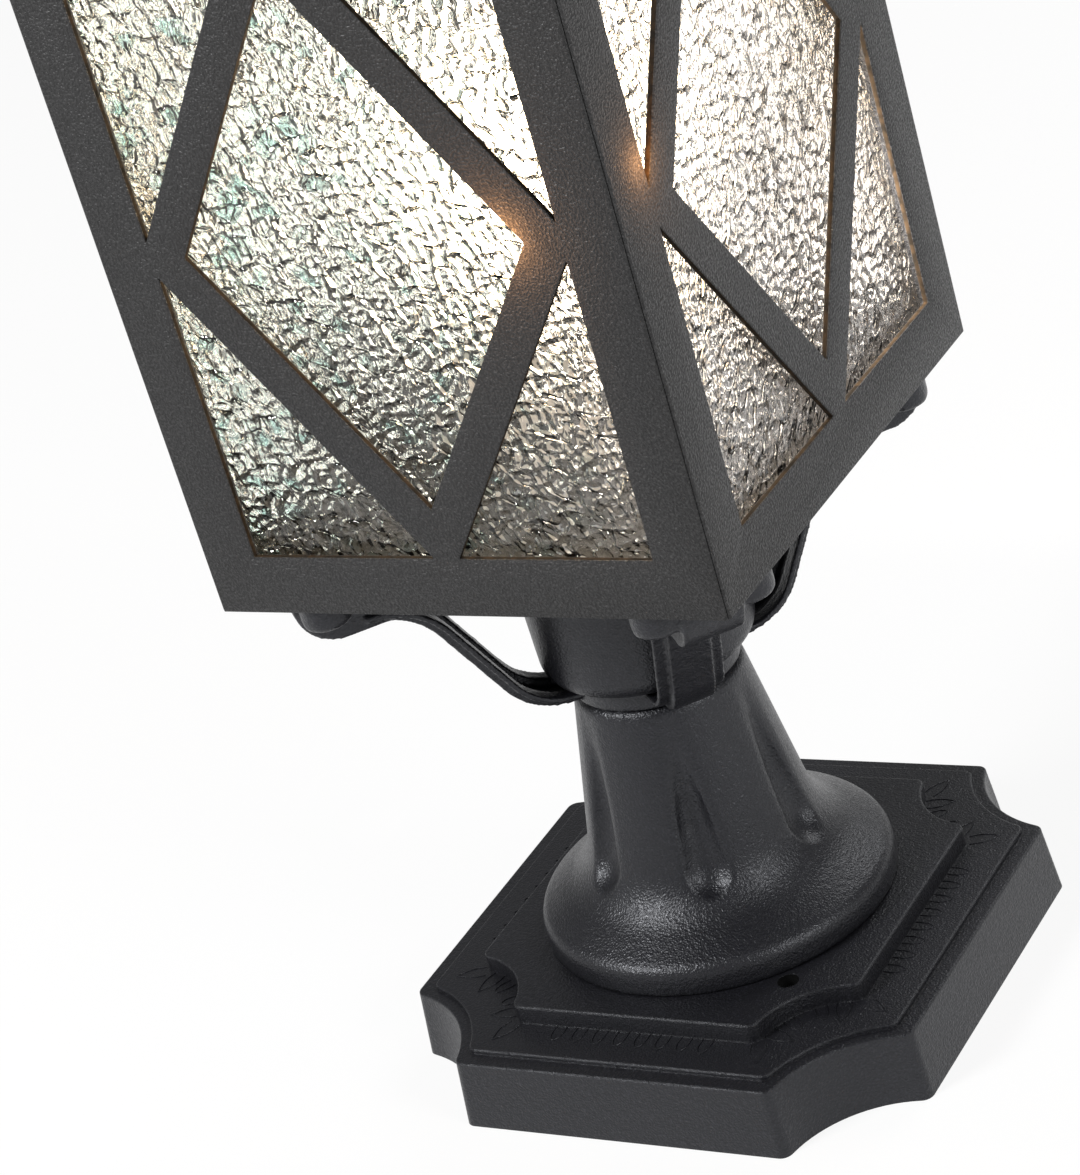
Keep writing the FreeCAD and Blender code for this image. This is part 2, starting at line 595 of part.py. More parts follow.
def add_lips(body, bottom):
    """Four lips that hold the panes against the panels."""
    lip = rectangle(sketch_on(body, "Lip", lift=bottom), "-lip_length / 2", "lip_length / 2",
                    "-(lip_outer)", "-(lip_inner)")
    repeat(body, "Lips", [pad(body, "FirstLip", lip, "lip_height")], SIDES)


def make_floor_plate():
    """Tray below the panes, with holes for the nipple, the post screws and water."""
    body = new_body("FloorPlate")
    plate = square(sketch_on(body, "Plate", lift="floor_bottom"), "panel_inner - floor_clearance")
    pad(body, "Sheet", plate, "floor_sheet")
    add_lips(body, "floor_top")
    holes = circle(sketch_on(body, "Holes"), "nipple_hole")
    for sign_x, sign_y in ((1, 1), (-1, 1), (-1, -1), (1, -1)):
        circle(holes, "screw_hole", f"{sign_x} * screw_offset", f"{sign_y} * screw_offset")
    for x, y in ((1, 0), (0, 1), (-1, 0), (0, -1)):
        circle(holes, "weep_hole / 2", f"{x} * weep_distance", f"{y} * weep_distance")
    drill(body, "HoleCuts", holes)
    keep(body, "floor_plate")


def cut_lattice(body):
    """Cut a panel's openings: a middle diamond and a triangle in each corner, with bars of one width."""
    openings = sketch_on(body, "Openings", "XZ_Plane")
    middle = "lantern_bottom + lantern_height / 2"
    low, high = "lantern_bottom + diamond_low", "lantern_top - diamond_low"
    chain(openings, [("0", low), ("diamond_half", middle), ("0", high), ("-diamond_half", middle)])
    stile = "lantern_half - stile_width"
    for sign in (1, -1):
        for rail, side in (("lantern_bottom", 1), ("lantern_top", -1)):
            edge = f"{rail} + {side} * rail_height"
            foot = f"{sign} * (rail_height - bar_line) / bar_slope"
            tip = f"{rail} + {side} * (bar_line + bar_slope * ({stile}))"
            chain(openings, [(foot, edge), (f"{sign} * ({stile})", edge), (f"{sign} * ({stile})", tip)])
    drill(body, "Lattice", openings)


def make_side_panels():
    """Four flat panels with mitred, lightly bevelled upright edges and the lattice cut through."""
    for name, turn in QUARTERS:
        body = new_body("SidePanel" + name.title())
        bevel = "lantern_half - panel_edge / 2"
        right = [("lantern_half - panel_edge", "-lantern_half"), (bevel, f"-({bevel})"),
                 ("panel_inner", "-panel_inner")]
        left = [(f"-({x})", y) for x, y in reversed(right)]
        plan = chain(sketch_on(body, "Plan", lift="lantern_bottom"), right + left)
        pad(body, "Sheet", plan, "lantern_height")
        cut_lattice(body)
        body.Placement = FreeCAD.Placement(CENTRE, FreeCAD.Rotation(UP, turn))
        keep(body, "side_panel_" + name)


def make_glass_panes():
    """Four panes that stand on the floor plate between the corner posts and the lips."""
    for name, turn in QUARTERS:
        body = new_body("GlassPane" + name.title())
        plan = rectangle(sketch_on(body, "Plan", lift="floor_top"), "-pane_half", "pane_half",
                         "-pane_outer", "-pane_inner")
        pad(body, "Sheet", plan, "lantern_top - glass_top_gap - floor_top")
        body.Placement = FreeCAD.Placement(CENTRE, FreeCAD.Rotation(UP, turn))
        keep(body, "glass_pane_" + name)


def make_corner_posts():
    """Four folded angles behind the stiles, each with a tapped foot on the floor plate."""
    leg = "panel_inner - post_leg"
    gap = "pane_half + 2 * glass_clearance"
    outer, inner = "lip_outer", "lip_outer - post_foot"
    angle = [("panel_inner", "panel_inner"), ("panel_inner", leg), ("post_inner", leg),
             ("post_inner", "post_inner"), (leg, "post_inner"), (leg, "panel_inner")]
    foot = [("post_inner", gap), ("post_inner", "post_inner"), (gap, "post_inner"), (gap, outer),
            (inner, outer), (inner, inner), (outer, inner), (outer, gap)]
    corners = ("front_right", "back_right", "back_left", "front_left")
    for name, (side, turn) in zip(corners, QUARTERS):
        body = new_body("CornerPost" + name.title().replace("_", ""))
        plan = chain(sketch_on(body, "Angle", lift="floor_top"), [(x, f"-({y})") for x, y in angle])
        pad(body, "Upright", plan, "lantern_top - floor_top")
        plate = chain(sketch_on(body, "FootPlan", lift="floor_top"), [(x, f"-({y})") for x, y in foot])
        pad(body, "Foot", plate, "foot_plate")
        hole = circle(sketch_on(body, "TappedHole"), "post_screw / 2 + thread_clearance",
                      "screw_offset", "-screw_offset")
        drill(body, "HoleCut", hole)
        body.Placement = FreeCAD.Placement(CENTRE, FreeCAD.Rotation(UP, turn))
        keep(body, "corner_post_" + name)


def make_post_screws():
    """Four cap screws from the yoke's feet up into the corner posts."""
    screws = []
    for index, (sign_x, sign_y) in enumerate(((1, -1), (1, 1), (-1, 1), (-1, -1))):
        head = bind(doc.addObject("Part::Cylinder", f"ScrewHead{index}"), Radius="post_screw_head / 2",
                    Height="post_screw_head_height", Placement__Base__z="screw_seat - post_screw_head_height")
        shank = bind(doc.addObject("Part::Cylinder", f"ScrewShank{index}"), Radius="post_screw / 2",
                     Height="post_screw_grip + floor_sheet + foot_plate + post_screw_end",
                     Placement__Base__z="screw_seat")
        screw = doc.addObject("Part::Fuse", f"PostScrew{index}")
        screw.Base = head
        screw.Tool = shank
        screws.append(bind(screw, Placement__Base__x=f"{sign_x} * screw_offset",
                           Placement__Base__y=f"{sign_y} * screw_offset"))
    group = doc.addObject("Part::Compound", "PostScrews")
    group.Links = screws
    keep(group, "post_screws")


def make_top_frame():
    """Square frame on the panels' upper edges, with lips that hold the panes."""
    body = new_body("TopFrame")
    pad(body, "Sheet", square(sketch_on(body, "Plate", lift="lantern_top"), "lantern_half"), "frame_sheet")
    add_lips(body, "lantern_top - lip_height")
    drill(body, "Opening", square(sketch_on(body, "OpeningPlan"), "frame_opening / 2"))
    keep(body, "top_frame")


def make_roof():
    """Hipped sheet roof with an upright edge, a returned lower edge and a small flat for the finial."""
    body = new_body("Roof")
    eave, flat = "lantern_half + eave_overhang", "roof_flat / 2"
    outside = [square(sketch_on(body, f"Outside{index}", lift=lift), half)
               for index, (lift, half) in enumerate((
        ("frame_top", eave), ("frame_top + fascia_height", eave), ("roof_top", flat)))]
    feature(body, "AdditiveLoft", "Slopes", outside[0], Sections=outside[1:], Ruled=True)
    inside = [square(sketch_on(body, f"Inside{index}", lift=lift), half)
              for index, (lift, half) in enumerate((
        ("frame_top + roof_sheet", f"{eave} - roof_sheet"),
        ("frame_top + fascia_height", f"{eave} - roof_sheet"),
        ("roof_top - roof_sheet", f"{flat} - roof_sheet")))]
    feature(body, "SubtractiveLoft", "Hollow", inside[0], Sections=inside[1:], Ruled=True)
    for sketch in outside + inside:
        sketch.Visibility = False
    opening = square(sketch_on(body, "OpeningPlan", lift="frame_top"), "roof_opening / 2")
    pocket(body, "Opening", opening, "roof_sheet", Reversed=True)
    drill(body, "StudHole", circle(sketch_on(body, "StudHolePlan"), "stud_hole"))
    keep(body, "roof")


def make_roof_fixing():
    """Bar below the top frame with the stud and nut that pull the roof down."""
    body = new_body("RoofBar")
    bar_bottom = "lantern_top - roof_bar_sheet"
    plan = rectangle(sketch_on(body, "Plan", lift=bar_bottom), "-bar_length / 2", "bar_length / 2",
                     "-roof_bar_width / 2", "roof_bar_width / 2")
    pad(body, "Bar", plan, "roof_bar_sheet")
    drill(body, "StudHole", circle(sketch_on(body, "StudHolePlan"), "stud_hole"))
    keep(body, "roof_bar")
    nut_bottom = f"{bar_bottom} - roof_nut_height"
    keep(hex_nut("RoofNut", "roof_nut_flats", "stud_diameter / 2 + thread_clearance", "roof_nut_height",
                 nut_bottom),
         "roof_nut")
    stud_bottom = f"{nut_bottom} - stud_end"
    stud = bind(doc.addObject("Part::Cylinder", "RoofStud"), Radius="stud_diameter / 2",
                Height=f"roof_top + stud_grip - ({stud_bottom})", Placement__Base__z=stud_bottom)
    keep(stud, "roof_stud")


def make_finial():
    """Turned knob that screws on the stud."""
    body = new_body("Finial")
    bore, bore_top = "stud_diameter / 2 + thread_clearance", "roof_top + stud_grip + screw_clearance"
    ball = "roof_top + finial_height - finial_ball"
    spin(body, "Knob", [
        (bore, "roof_top"),
        ("finial_foot", "roof_top"),
        ("finial_foot", "roof_top + finial_foot_height"),
        ("finial_neck", "roof_top + 2 * finial_foot_height"),
        ("finial_neck", f"{ball} - sqrt(finial_ball ^ 2 - finial_neck ^ 2)"),
        ("0", "roof_top + finial_height", "0", ball, 1),
        ("0", bore_top),
        (bore, bore_top)])
    keep(body, "finial")


def make_lamp():
    """Lamp holder, its screw shell and the bulb."""
    body = new_body("LampHolder")
    wall, wire = "shell_radius + thread_clearance", "nipple_bore / 2"
    seat = "nipple_diameter / 2 + thread_clearance"
    spin(body, "Holder", [
        (seat, "holder_bottom"),
        ("holder_radius", "holder_bottom"),
        ("holder_radius", "holder_top"),
        (wall, "holder_top"),
        (wall, "shell_bottom"),
        (wire, "shell_bottom"),
        (wire, "holder_bottom + nipple_grip"),
        (seat, "holder_bottom + nipple_grip")])
    round_edges(body, "OuterRound", "holder_round", lambda edge: edge.BoundBox.ZLength < SAME_PLACE
                and near(edge.Curve.Radius, value("holder_radius")))
    keep(body, "lamp_holder")
    keep(tube("ScrewShell", "shell_radius", "shell_radius - shell_sheet", "shell_height", "shell_bottom"),
         "screw_shell")
    bulb = new_body("Bulb")
    collar, globe = "bulb_bottom + bulb_cap_length", "bulb_bottom + bulb_length - bulb_radius"
    spin(bulb, "Glass", [
        ("0", "bulb_bottom"),
        ("bulb_tip", "bulb_bottom"),
        ("bulb_cap", "bulb_bottom + bulb_tip_height"),
        ("bulb_cap", collar),
        ("bulb_neck", collar),
        ("bulb_neck", f"{collar} + bulb_neck_height"),
        ("bulb_radius * cos(bulb_shoulder)", f"{globe} - bulb_radius * sin(bulb_shoulder)"),
        ("0", "bulb_bottom + bulb_length", "0", globe, 1)])
    keep(bulb, "bulb")


def make_centre_fixing():
    """Hollow nipple through the axis with the nuts and washers that clamp the stack."""
    bottom = "base_ceiling - washer_thickness - nut_height - nipple_end"
    top = "holder_bottom + nipple_grip - screw_clearance"
    keep(tube("CentreNipple", "nipple_diameter / 2", "nipple_bore / 2", f"{top} - ({bottom})", bottom),
         "centre_nipple")
    seats = (("Base", "base_ceiling - washer_thickness", "base_ceiling - washer_thickness - nut_height"),
             ("Floor", "floor_top", "floor_top + washer_thickness"))
    for name, washer, nut in seats:
        keep(tube(name + "Washer", "washer_diameter / 2", "nipple_hole", "washer_thickness", washer),
             name.lower() + "_washer")
        keep(hex_nut(name + "Nut", "nut_flats", "nipple_diameter / 2 + thread_clearance", "nut_height", nut),
             name.lower() + "_nut")


def write_parts():
    """Check each object and write each sub-part to its file."""
    doc.recompute()
    for item in doc.Objects:
        if "Invalid" in item.State or "Error" in item.State:
            raise RuntimeError(item.Name + " did not build")
    os.makedirs("parts", exist_ok=True)
    for item in NODES:
        if item.Shape.isNull() or not item.Shape.isValid():
            raise RuntimeError(item.Label + " has no sound shape")
        item.Shape.exportStep(f"parts/{item.Label}.step")


make_pier_base()
make_column()
make_yoke()
make_hub_cup()
make_floor_plate()
make_side_panels()
make_glass_panes()
make_corner_posts()
make_post_screws()
make_top_frame()
make_roof()
make_roof_fixing()
make_finial()
make_lamp()
make_centre_fixing()
write_parts()
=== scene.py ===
import json
import math

import bpy
from bpy.props import FloatProperty, FloatVectorProperty, IntProperty, PointerProperty
from mathutils import Matrix, Vector

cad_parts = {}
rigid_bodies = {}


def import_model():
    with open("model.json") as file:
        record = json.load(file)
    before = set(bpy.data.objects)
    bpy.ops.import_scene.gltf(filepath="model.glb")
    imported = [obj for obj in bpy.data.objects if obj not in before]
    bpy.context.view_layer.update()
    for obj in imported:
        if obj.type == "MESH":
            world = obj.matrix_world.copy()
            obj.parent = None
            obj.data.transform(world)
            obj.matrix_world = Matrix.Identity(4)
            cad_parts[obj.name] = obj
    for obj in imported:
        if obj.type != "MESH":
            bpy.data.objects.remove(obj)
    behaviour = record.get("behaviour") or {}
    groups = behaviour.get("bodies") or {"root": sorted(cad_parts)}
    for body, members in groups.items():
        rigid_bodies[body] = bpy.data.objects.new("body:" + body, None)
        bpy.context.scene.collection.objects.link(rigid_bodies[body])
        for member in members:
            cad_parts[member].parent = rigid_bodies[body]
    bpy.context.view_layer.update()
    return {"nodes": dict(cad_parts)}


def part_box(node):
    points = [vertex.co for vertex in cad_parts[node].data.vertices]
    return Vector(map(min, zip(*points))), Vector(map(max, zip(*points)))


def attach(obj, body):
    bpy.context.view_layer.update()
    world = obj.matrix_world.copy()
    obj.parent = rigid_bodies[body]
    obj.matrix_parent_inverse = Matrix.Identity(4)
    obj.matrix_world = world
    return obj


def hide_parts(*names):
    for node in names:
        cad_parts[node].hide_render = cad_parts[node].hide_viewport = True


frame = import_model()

bl_info = {
    "name": "Post lamp dressing",
    "version": (1, 0, 0),
    "blender": (4, 5, 0),
    "location": "3D View > Sidebar > Post lamp",
    "description": "Dresses the post lamp's solids: coated castings and panels, rippled glass, ornament and studio",
    "category": "Object",
}

MM = 0.001
SAME_PLACE = 1e-6
FLAT_ANGLE = math.radians(0.5)
SIDES = (("front", 0), ("right", 90), ("back", 180), ("left", 270))
CORNERS = ("front_right", "back_right", "back_left", "front_left")


class LampSizes(bpy.types.PropertyGroup):
    """Sizes that a user would change."""
    edge_bevel: FloatProperty(name="Edge bevel", description="Soft edge of the cut panels",
                              default=0.35 * MM, unit="LENGTH")
    cast_bevel: FloatProperty(name="Cast bevel", description="Soft edge of the castings in the shading",
                              default=0.8 * MM, unit="LENGTH")
    ripple_pitch: FloatProperty(name="Ripple pitch", description="Distance between the glass's ripples",
                                default=3.5 * MM, unit="LENGTH")
    ripple_depth: FloatProperty(name="Ripple depth", description="Depth of the glass's ripples in the mesh",
                                default=0.4 * MM, unit="LENGTH")
    ripple_relief: FloatProperty(name="Ripple relief", description="Rounding of the ripples in the shading",
                                 default=1.1 * MM, unit="LENGTH")
    ripple_grid: FloatProperty(name="Ripple grid", description="Mesh spacing of the rippled face",
                               default=0.8 * MM, unit="LENGTH")
    bead_radius: FloatProperty(name="Bead radius", description="Radius of the ornament's raised line",
                               default=0.27 * MM, unit="LENGTH")
    yoke_grain: FloatProperty(name="Yoke grain", description="Mesh spacing of the yoke's cast skin",
                              default=0.75 * MM, unit="LENGTH")
    column_grain: FloatProperty(name="Column grain", description="Mesh spacing of the column's cast skin",
                                default=0.85 * MM, unit="LENGTH")
    flute_depth: FloatProperty(name="Flute depth", description="Extra depth along the column's flutes",
                               default=2.2 * MM, unit="LENGTH")
    flute_softness: IntProperty(name="Flute softness", description="Rounds of smoothing on the flutes",
                                default=2, min=0)
    tick_count: IntProperty(name="Ticks", description="Small loops along each straight side of the base",
                            default=8, min=1)


class LampColours(bpy.types.PropertyGroup):
    """Colours that a user would change."""
    panel: FloatVectorProperty(name="Panel coat", description="Fine textured coat of the sheet parts",
                               subtype="COLOR", default=(0.0175, 0.0172, 0.0175))
    casting: FloatVectorProperty(name="Casting coat", description="Satin coat of the castings",
                                 subtype="COLOR", default=(0.0075, 0.0075, 0.0095))
    glass: FloatVectorProperty(name="Glass", description="Tint of the glass on the lamp's cool sides",
                               subtype="COLOR", default=(0.965, 0.965, 0.905))
    # Painted lamplight: the glass on the warm sides is tinted warmer, as if lit by the bulb.
    lamplit_glass: FloatVectorProperty(name="Warm glass", description="Tint of the glass on the lamp's warm sides",
                                    subtype="COLOR", default=(0.97, 0.93, 0.875))
    # Painted reflection: the teal on single ripples stands in for the surroundings refracted through them.
    painted_light_ripples: FloatVectorProperty(name="Cool ripples", description="Tint of single ripples on the lamp's cool sides",
                                subtype="COLOR", default=(0.5, 0.68, 0.64))
    # Painted lamplight on single ripples of the warm sides.
    lamplit_ripples: FloatVectorProperty(name="Warm ripples", description="Tint of single ripples on the lamp's warm sides",
                               subtype="COLOR", default=(0.86, 0.78, 0.69))
    glow: FloatVectorProperty(name="Glow", description="Light of the bulb", subtype="COLOR",
                              default=(1.0, 0.78, 0.5))


def sizes():
    """The scene's sizes."""
    return bpy.context.scene.lamp_sizes


def colours():
    """The scene's colours."""
    return bpy.context.scene.lamp_colours


def select_only(obj):
    """Make one object the only selected and active one."""
    bpy.ops.object.select_all(action="DESELECT")
    obj.select_set(True)
    bpy.context.view_layer.objects.active = obj
    return obj


def add(operator, **settings):
    """Add one primitive and return it."""
    bpy.ops.object.select_all(action="DESELECT")
    operator(**settings)
    return bpy.context.object


def edit(obj, select="SELECT"):
    """Enter edit mode on an object with everything selected or nothing."""
    select_only(obj)
    bpy.ops.object.mode_set(mode="EDIT")
    bpy.ops.mesh.select_all(action=select)


def leave():
    """Go back to object mode."""
    bpy.ops.object.mode_set(mode="OBJECT")


def settle(obj):
    """Put an object's place into its mesh."""
    select_only(obj)
    bpy.ops.object.transform_apply(location=True, rotation=True, scale=True)
    return obj


def shade(obj, degrees=35):
    """Shade smooth, with edges sharper than an angle kept sharp."""
    select_only(obj)
    bpy.ops.object.shade_smooth_by_angle(angle=math.radians(degrees))
    return obj


def modify(obj, kind, **settings):
    """Add a modifier and apply it."""
    select_only(obj)
    modifier = obj.modifiers.new(kind.title(), kind)
    for name, setting in settings.items():
        setattr(modifier, name, setting)
    bpy.ops.object.modifier_apply(modifier=modifier.name)
    return obj


def outward(obj):
    """Merge doubles and point the faces outwards."""
    edit(obj)
    bpy.ops.mesh.remove_doubles(threshold=SAME_PLACE)
    bpy.ops.mesh.normals_make_consistent(inside=False)
    leave()
    return obj


def copy_node(node, name, plain=True):
    """Copy of a solid with its loose triangles merged, and its flat faces made whole."""
    select_only(frame["nodes"][node])
    bpy.ops.object.duplicate(linked=False)
    obj = bpy.context.object
    bpy.ops.object.parent_clear(type="CLEAR_KEEP_TRANSFORM")
    obj.name = name
    obj.data.name = name
    settle(obj)
    edit(obj)
    bpy.ops.mesh.remove_doubles(threshold=SAME_PLACE)
    bpy.ops.mesh.customdata_custom_splitnormals_clear()
    if plain:
        bpy.ops.mesh.dissolve_limited(angle_limit=FLAT_ANGLE)
    leave()
    return obj


def turned_copy(obj, name, degrees):
    """Copy of a piece, with its own mesh, turned about the lamp's axis."""
    select_only(obj)
    bpy.ops.object.duplicate(linked=False)
    copy = bpy.context.object
    copy.name = name
    copy.data.name = name
    copy.matrix_world = Matrix.Rotation(math.radians(degrees), 4, "Z") @ copy.matrix_world
    return settle(copy)


def join(objs, name):
    """One mesh from several."""
    bpy.ops.object.select_all(action="DESELECT")
    for obj in objs:
        obj.select_set(True)
    bpy.context.view_layer.objects.active = objs[0]
    bpy.ops.object.join()
    objs[0].name = name
    objs[0].data.name = name
    return objs[0]


def dress(obj, material, slot, *nodes):
    """Give a piece its material and body, and hide the solids it stands for."""
    obj.data.materials.clear()
    obj.data.materials.append(material)
    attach(obj, "root")
    if nodes:
        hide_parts(*nodes)
    return obj


def coat_node(node, material):
    """Give a solid of the frame its material."""
    obj = frame["nodes"][node]
    obj.data.materials.clear()
    obj.data.materials.append(material)


def pick(obj, test):
    """Enter edit mode with the vertices selected whose place passes a test."""
    edit(obj, "DESELECT")
    leave()
    for vertex in obj.data.vertices:
        vertex.select = test(vertex.co)
    bpy.ops.object.mode_set(mode="EDIT")


def bead_line(points, radius, sharp=()):
    """Round bead along a smooth line through points, with sharp turns at the listed ones."""
    obj = add(bpy.ops.curve.primitive_bezier_curve_add)
    curve = obj.data
    curve.bevel_depth, curve.bevel_resolution, curve.resolution_u, curve.use_fill_caps = radius, 1, 5, True
    knots = curve.splines[0].bezier_points
    knots.add(len(points) - len(knots))
    for index, (knot, point) in enumerate(zip(knots, points)):
        knot.co = point
        knot.handle_left_type = knot.handle_right_type = "VECTOR" if index in sharp else "AUTO"
    bpy.ops.object.convert(target="MESH")
    return settle(bpy.context.object)


def lathe(name, profile, segments=64):
    """Turned piece: a circle extruded ring by ring along a profile of (radius, height)."""
    radius, height = profile[0]
    obj = add(bpy.ops.mesh.primitive_circle_add, vertices=segments, radius=radius, fill_type="NGON",
              location=(0, 0, height))
    obj.name = name
    settle(obj)
    edit(obj)
    for next_radius, next_height in profile[1:]:
        bpy.ops.mesh.extrude_region_move(TRANSFORM_OT_translate={"value": (0, 0, next_height - height)})
        scale = next_radius / radius
        bpy.ops.transform.resize(value=(scale, scale, 1), center_override=(0, 0, next_height))
        radius, height = next_radius, next_height
    leave()
    return outward(obj)


def feed(links, socket, value):
    """Link an output to a socket, or set the socket's constant."""
    if isinstance(value, bpy.types.NodeSocket):
        links.new(value, socket)
    else:
        socket.default_value = value


class Finish:
    """Node material with a Principled surface."""

    def __init__(self, name, **sockets):
        self.material = bpy.data.materials.new(name)
        self.material.use_nodes = True
        self.nodes = self.material.node_tree.nodes
        self.links = self.material.node_tree.links
        self.surface = self.nodes["Principled BSDF"]
        self.place = self.nodes.new("ShaderNodeTexCoord").outputs["Object"]
        self.wire(**sockets)

    def node(self, kind, sockets=None, **settings):
        """New node with its settings, and its sockets linked or set."""
        node = self.nodes.new("ShaderNode" + kind)
        for name, value in settings.items():
            setattr(node, name, value)
        for name, value in (sockets or {}).items():
            feed(self.links, node.inputs[name], value)
        return node

    def noise(self, size, detail):
        """Noise whose features are about one size across."""
        return self.node("TexNoise", {"Vector": self.place, "Scale": 1.0 / size, "Detail": detail}).outputs["Fac"]

    def ramp(self, value, *stops):
        """Colour ramp through (position, colour) stops."""
        ramp = self.node("ValToRGB", {"Fac": value})
        elements = ramp.color_ramp.elements
        while len(elements) < len(stops):
            elements.new(0.5)
        for element, (position, colour) in zip(elements, stops):
            element.position = position
            element.color = (*colour, 1)
        return ramp.outputs["Color"]

    def math(self, operation, first, second, third=0.0):
        """Result of one sum on values or outputs."""
        return self.node("Math", {0: first, 1: second, 2: third}, operation=operation).outputs[0]

    def span(self, value, low, high, from_low=0.0, from_high=1.0):
        """Value mapped from one range to another."""
        return self.node("MapRange", {"Value": value, "From Min": from_low, "From Max": from_high,
                                      "To Min": low, "To Max": high}).outputs["Result"]

    def bump(self, height, strength, distance, normal=None):
        """Relief on the surface, or on another normal."""
        sockets = {"Height": height, "Strength": strength, "Distance": distance}
        if normal:
            sockets["Normal"] = normal
        return self.node("Bump", sockets).outputs["Normal"]

    def wire(self, **sockets):
        """Link or set the surface's sockets."""
        for name, value in sockets.items():
            feed(self.links, self.surface.inputs[name.replace("_", " ")], value)
        return self.material


def shades(colour, *factors):
    """Lighter and darker versions of one colour."""
    return [tuple(min(1.0, part * factor) for part in colour) for factor in factors]


def panel_coat():
    """Charcoal coat with a fine sandy grain that sparkles."""
    finish = Finish("panel_coat", Metallic=0.0, Specular_IOR_Level=0.4)
    dark, plain, light, bright = shades(colours().panel, 0.7, 0.95, 1.2, 2.0)
    grain = finish.noise(0.7 * MM, detail=1.0)
    colour = finish.ramp(grain, (0.36, dark), (0.47, plain), (0.57, light), (0.68, bright))
    return finish.wire(Base_Color=colour, Roughness=finish.span(grain, 0.58, 0.36, 0.35, 0.65),
                       Normal=finish.bump(grain, 1.0, 0.6 * MM))


def painted_light_edge(name, low, high):
    """Matte cut metal whose colour is painted light: a dark brownish tint standing in for the bulb's warm light on
    the panels' reveals, or near-black painted shade on a hole's wall.
    """
    finish = Finish(name, Metallic=0.0, Specular_IOR_Level=0.08)
    stain = finish.noise(2.5 * MM, detail=2)
    colour = finish.ramp(stain, (0.35, low), (0.65, high))
    return finish.wire(Base_Color=colour, Roughness=finish.span(stain, 0.7, 0.9))


def casting_coat(name, soft_edges):
    """Satin black coat over a cast skin, with orange peel and bright specks."""
    finish = Finish(name, Metallic=0.0, Specular_Tint=(0.93, 0.95, 1.0, 1.0))
    dark, plain, light, bright = shades(colours().casting, 0.75, 1.0, 1.3, 2.2)
    peel = finish.noise(1.5 * MM, detail=1.0)
    specks = finish.noise(0.62 * MM, detail=1.0)
    skin = finish.math("ADD", finish.math("MULTIPLY", peel, 0.4), finish.math("MULTIPLY", specks, 0.6))
    colour = finish.ramp(specks, (0.35, dark), (0.5, plain), (0.6, light), (0.72, bright))
    soft = None
    if soft_edges:
        soft = finish.node("Bevel", {"Radius": sizes().cast_bevel}, samples=2).outputs["Normal"]
    return finish.wire(Base_Color=colour, Roughness=finish.span(specks, 0.45, 0.28, 0.35, 0.68),
                       Normal=finish.bump(skin, 0.9, 0.4 * MM, soft))


def rippled_glass():
    """Clear glass hammered into irregular lens-like domes. Some single ripples are tinted: teal on the cool sides as
    painted reflection of the surroundings, brownish on the warm sides as painted lamplight. The clear glass is also
    painted warmer on the warm sides, as if lit by the bulb.
    """
    finish = Finish("rippled_glass", Transmission_Weight=1.0, Roughness=0.0, IOR=1.48, Metallic=0.0)
    spot = finish.node("SeparateXYZ", {"Vector": finish.place})
    across = finish.math("ADD", spot.outputs["X"], spot.outputs["Y"])
    flat = finish.node("CombineXYZ", {"X": across, "Y": spot.outputs["Z"]}).outputs[0]
    pitch = sizes().ripple_pitch
    wander = finish.node("TexNoise", {"Vector": flat, "Scale": 1 / (1.5 * pitch), "Detail": 0.0},
                         noise_dimensions="2D")
    shifted = finish.node("VectorMath", {0: wander.outputs["Color"], 1: (0.95 * pitch, 0.95 * pitch, 0), 2: flat},
                          operation="MULTIPLY_ADD").outputs[0]
    cell = finish.node("TexVoronoi", {"Vector": shifted, "Scale": 1 / pitch}, voronoi_dimensions="2D")
    swell = finish.node("TexNoise", {"Vector": flat, "Scale": 1 / (0.6 * pitch), "Detail": 0.0},
                        noise_dimensions="2D").outputs["Fac"]
    dome = finish.math("MULTIPLY_ADD", swell, 0.5, finish.math("POWER", cell.outputs["Distance"], 2.0))
    kind = finish.node("SeparateColor", {"Color": cell.outputs["Color"]}).outputs["Blue"]
    # The warm sides are where x + y is above zero, the right and back panes; their warmer tint is painted lamplight.
    side = finish.span(across, 0.0, 1.0, -0.06, 0.0)
    clear = finish.ramp(side, (0.0, tuple(colours().glass)), (1.0, tuple(colours().lamplit_glass)))
    # Some single ripples picked at random get a strong tint: teal as painted reflection of the surroundings on the
    # cool sides, brownish as painted lamplight on the warm sides.
    painted_light_ripples = finish.ramp(side, (0.0, tuple(colours().painted_light_ripples)), (1.0, tuple(colours().lamplit_ripples)))
    share = finish.span(kind, 0.0, 1.0, 0.8, 0.97)
    tint = finish.node("Mix", {"Factor": share, "A": clear, "B": painted_light_ripples}, data_type="RGBA")
    return finish.wire(Base_Color=tint.outputs["Result"], Normal=finish.bump(dome, 1.0, sizes().ripple_relief))


def plated_steel():
    """Zinc plated steel with faint turning marks."""
    finish = Finish("plated_steel", Metallic=1.0)
    marks = finish.noise(0.8 * MM, detail=3)
    stain = finish.noise(6 * MM, detail=2)
    colour = finish.ramp(stain, (0.3, (0.5, 0.5, 0.52)), (0.7, (0.66, 0.67, 0.69)))
    return finish.wire(Base_Color=colour, Roughness=finish.span(marks, 0.28, 0.48),
                       Normal=finish.bump(marks, 0.2, 0.05 * MM))


def glazed_holder():
    """Off-white glazed ceramic."""
    finish = Finish("glazed_holder", Coat_Weight=0.4)
    stain = finish.noise(5 * MM, detail=3)
    colour = finish.ramp(stain, (0.3, (0.78, 0.76, 0.7)), (0.7, (0.86, 0.85, 0.8)))
    return finish.wire(Base_Color=colour, Roughness=finish.span(stain, 0.2, 0.32))


def plain_brass():
    """Drawn brass."""
    finish = Finish("plain_brass", Metallic=1.0)
    stain = finish.noise(4 * MM, detail=3)
    colour = finish.ramp(stain, (0.3, (0.66, 0.45, 0.18)), (0.7, (0.83, 0.62, 0.3)))
    return finish.wire(Base_Color=colour, Roughness=finish.span(stain, 0.25, 0.42))


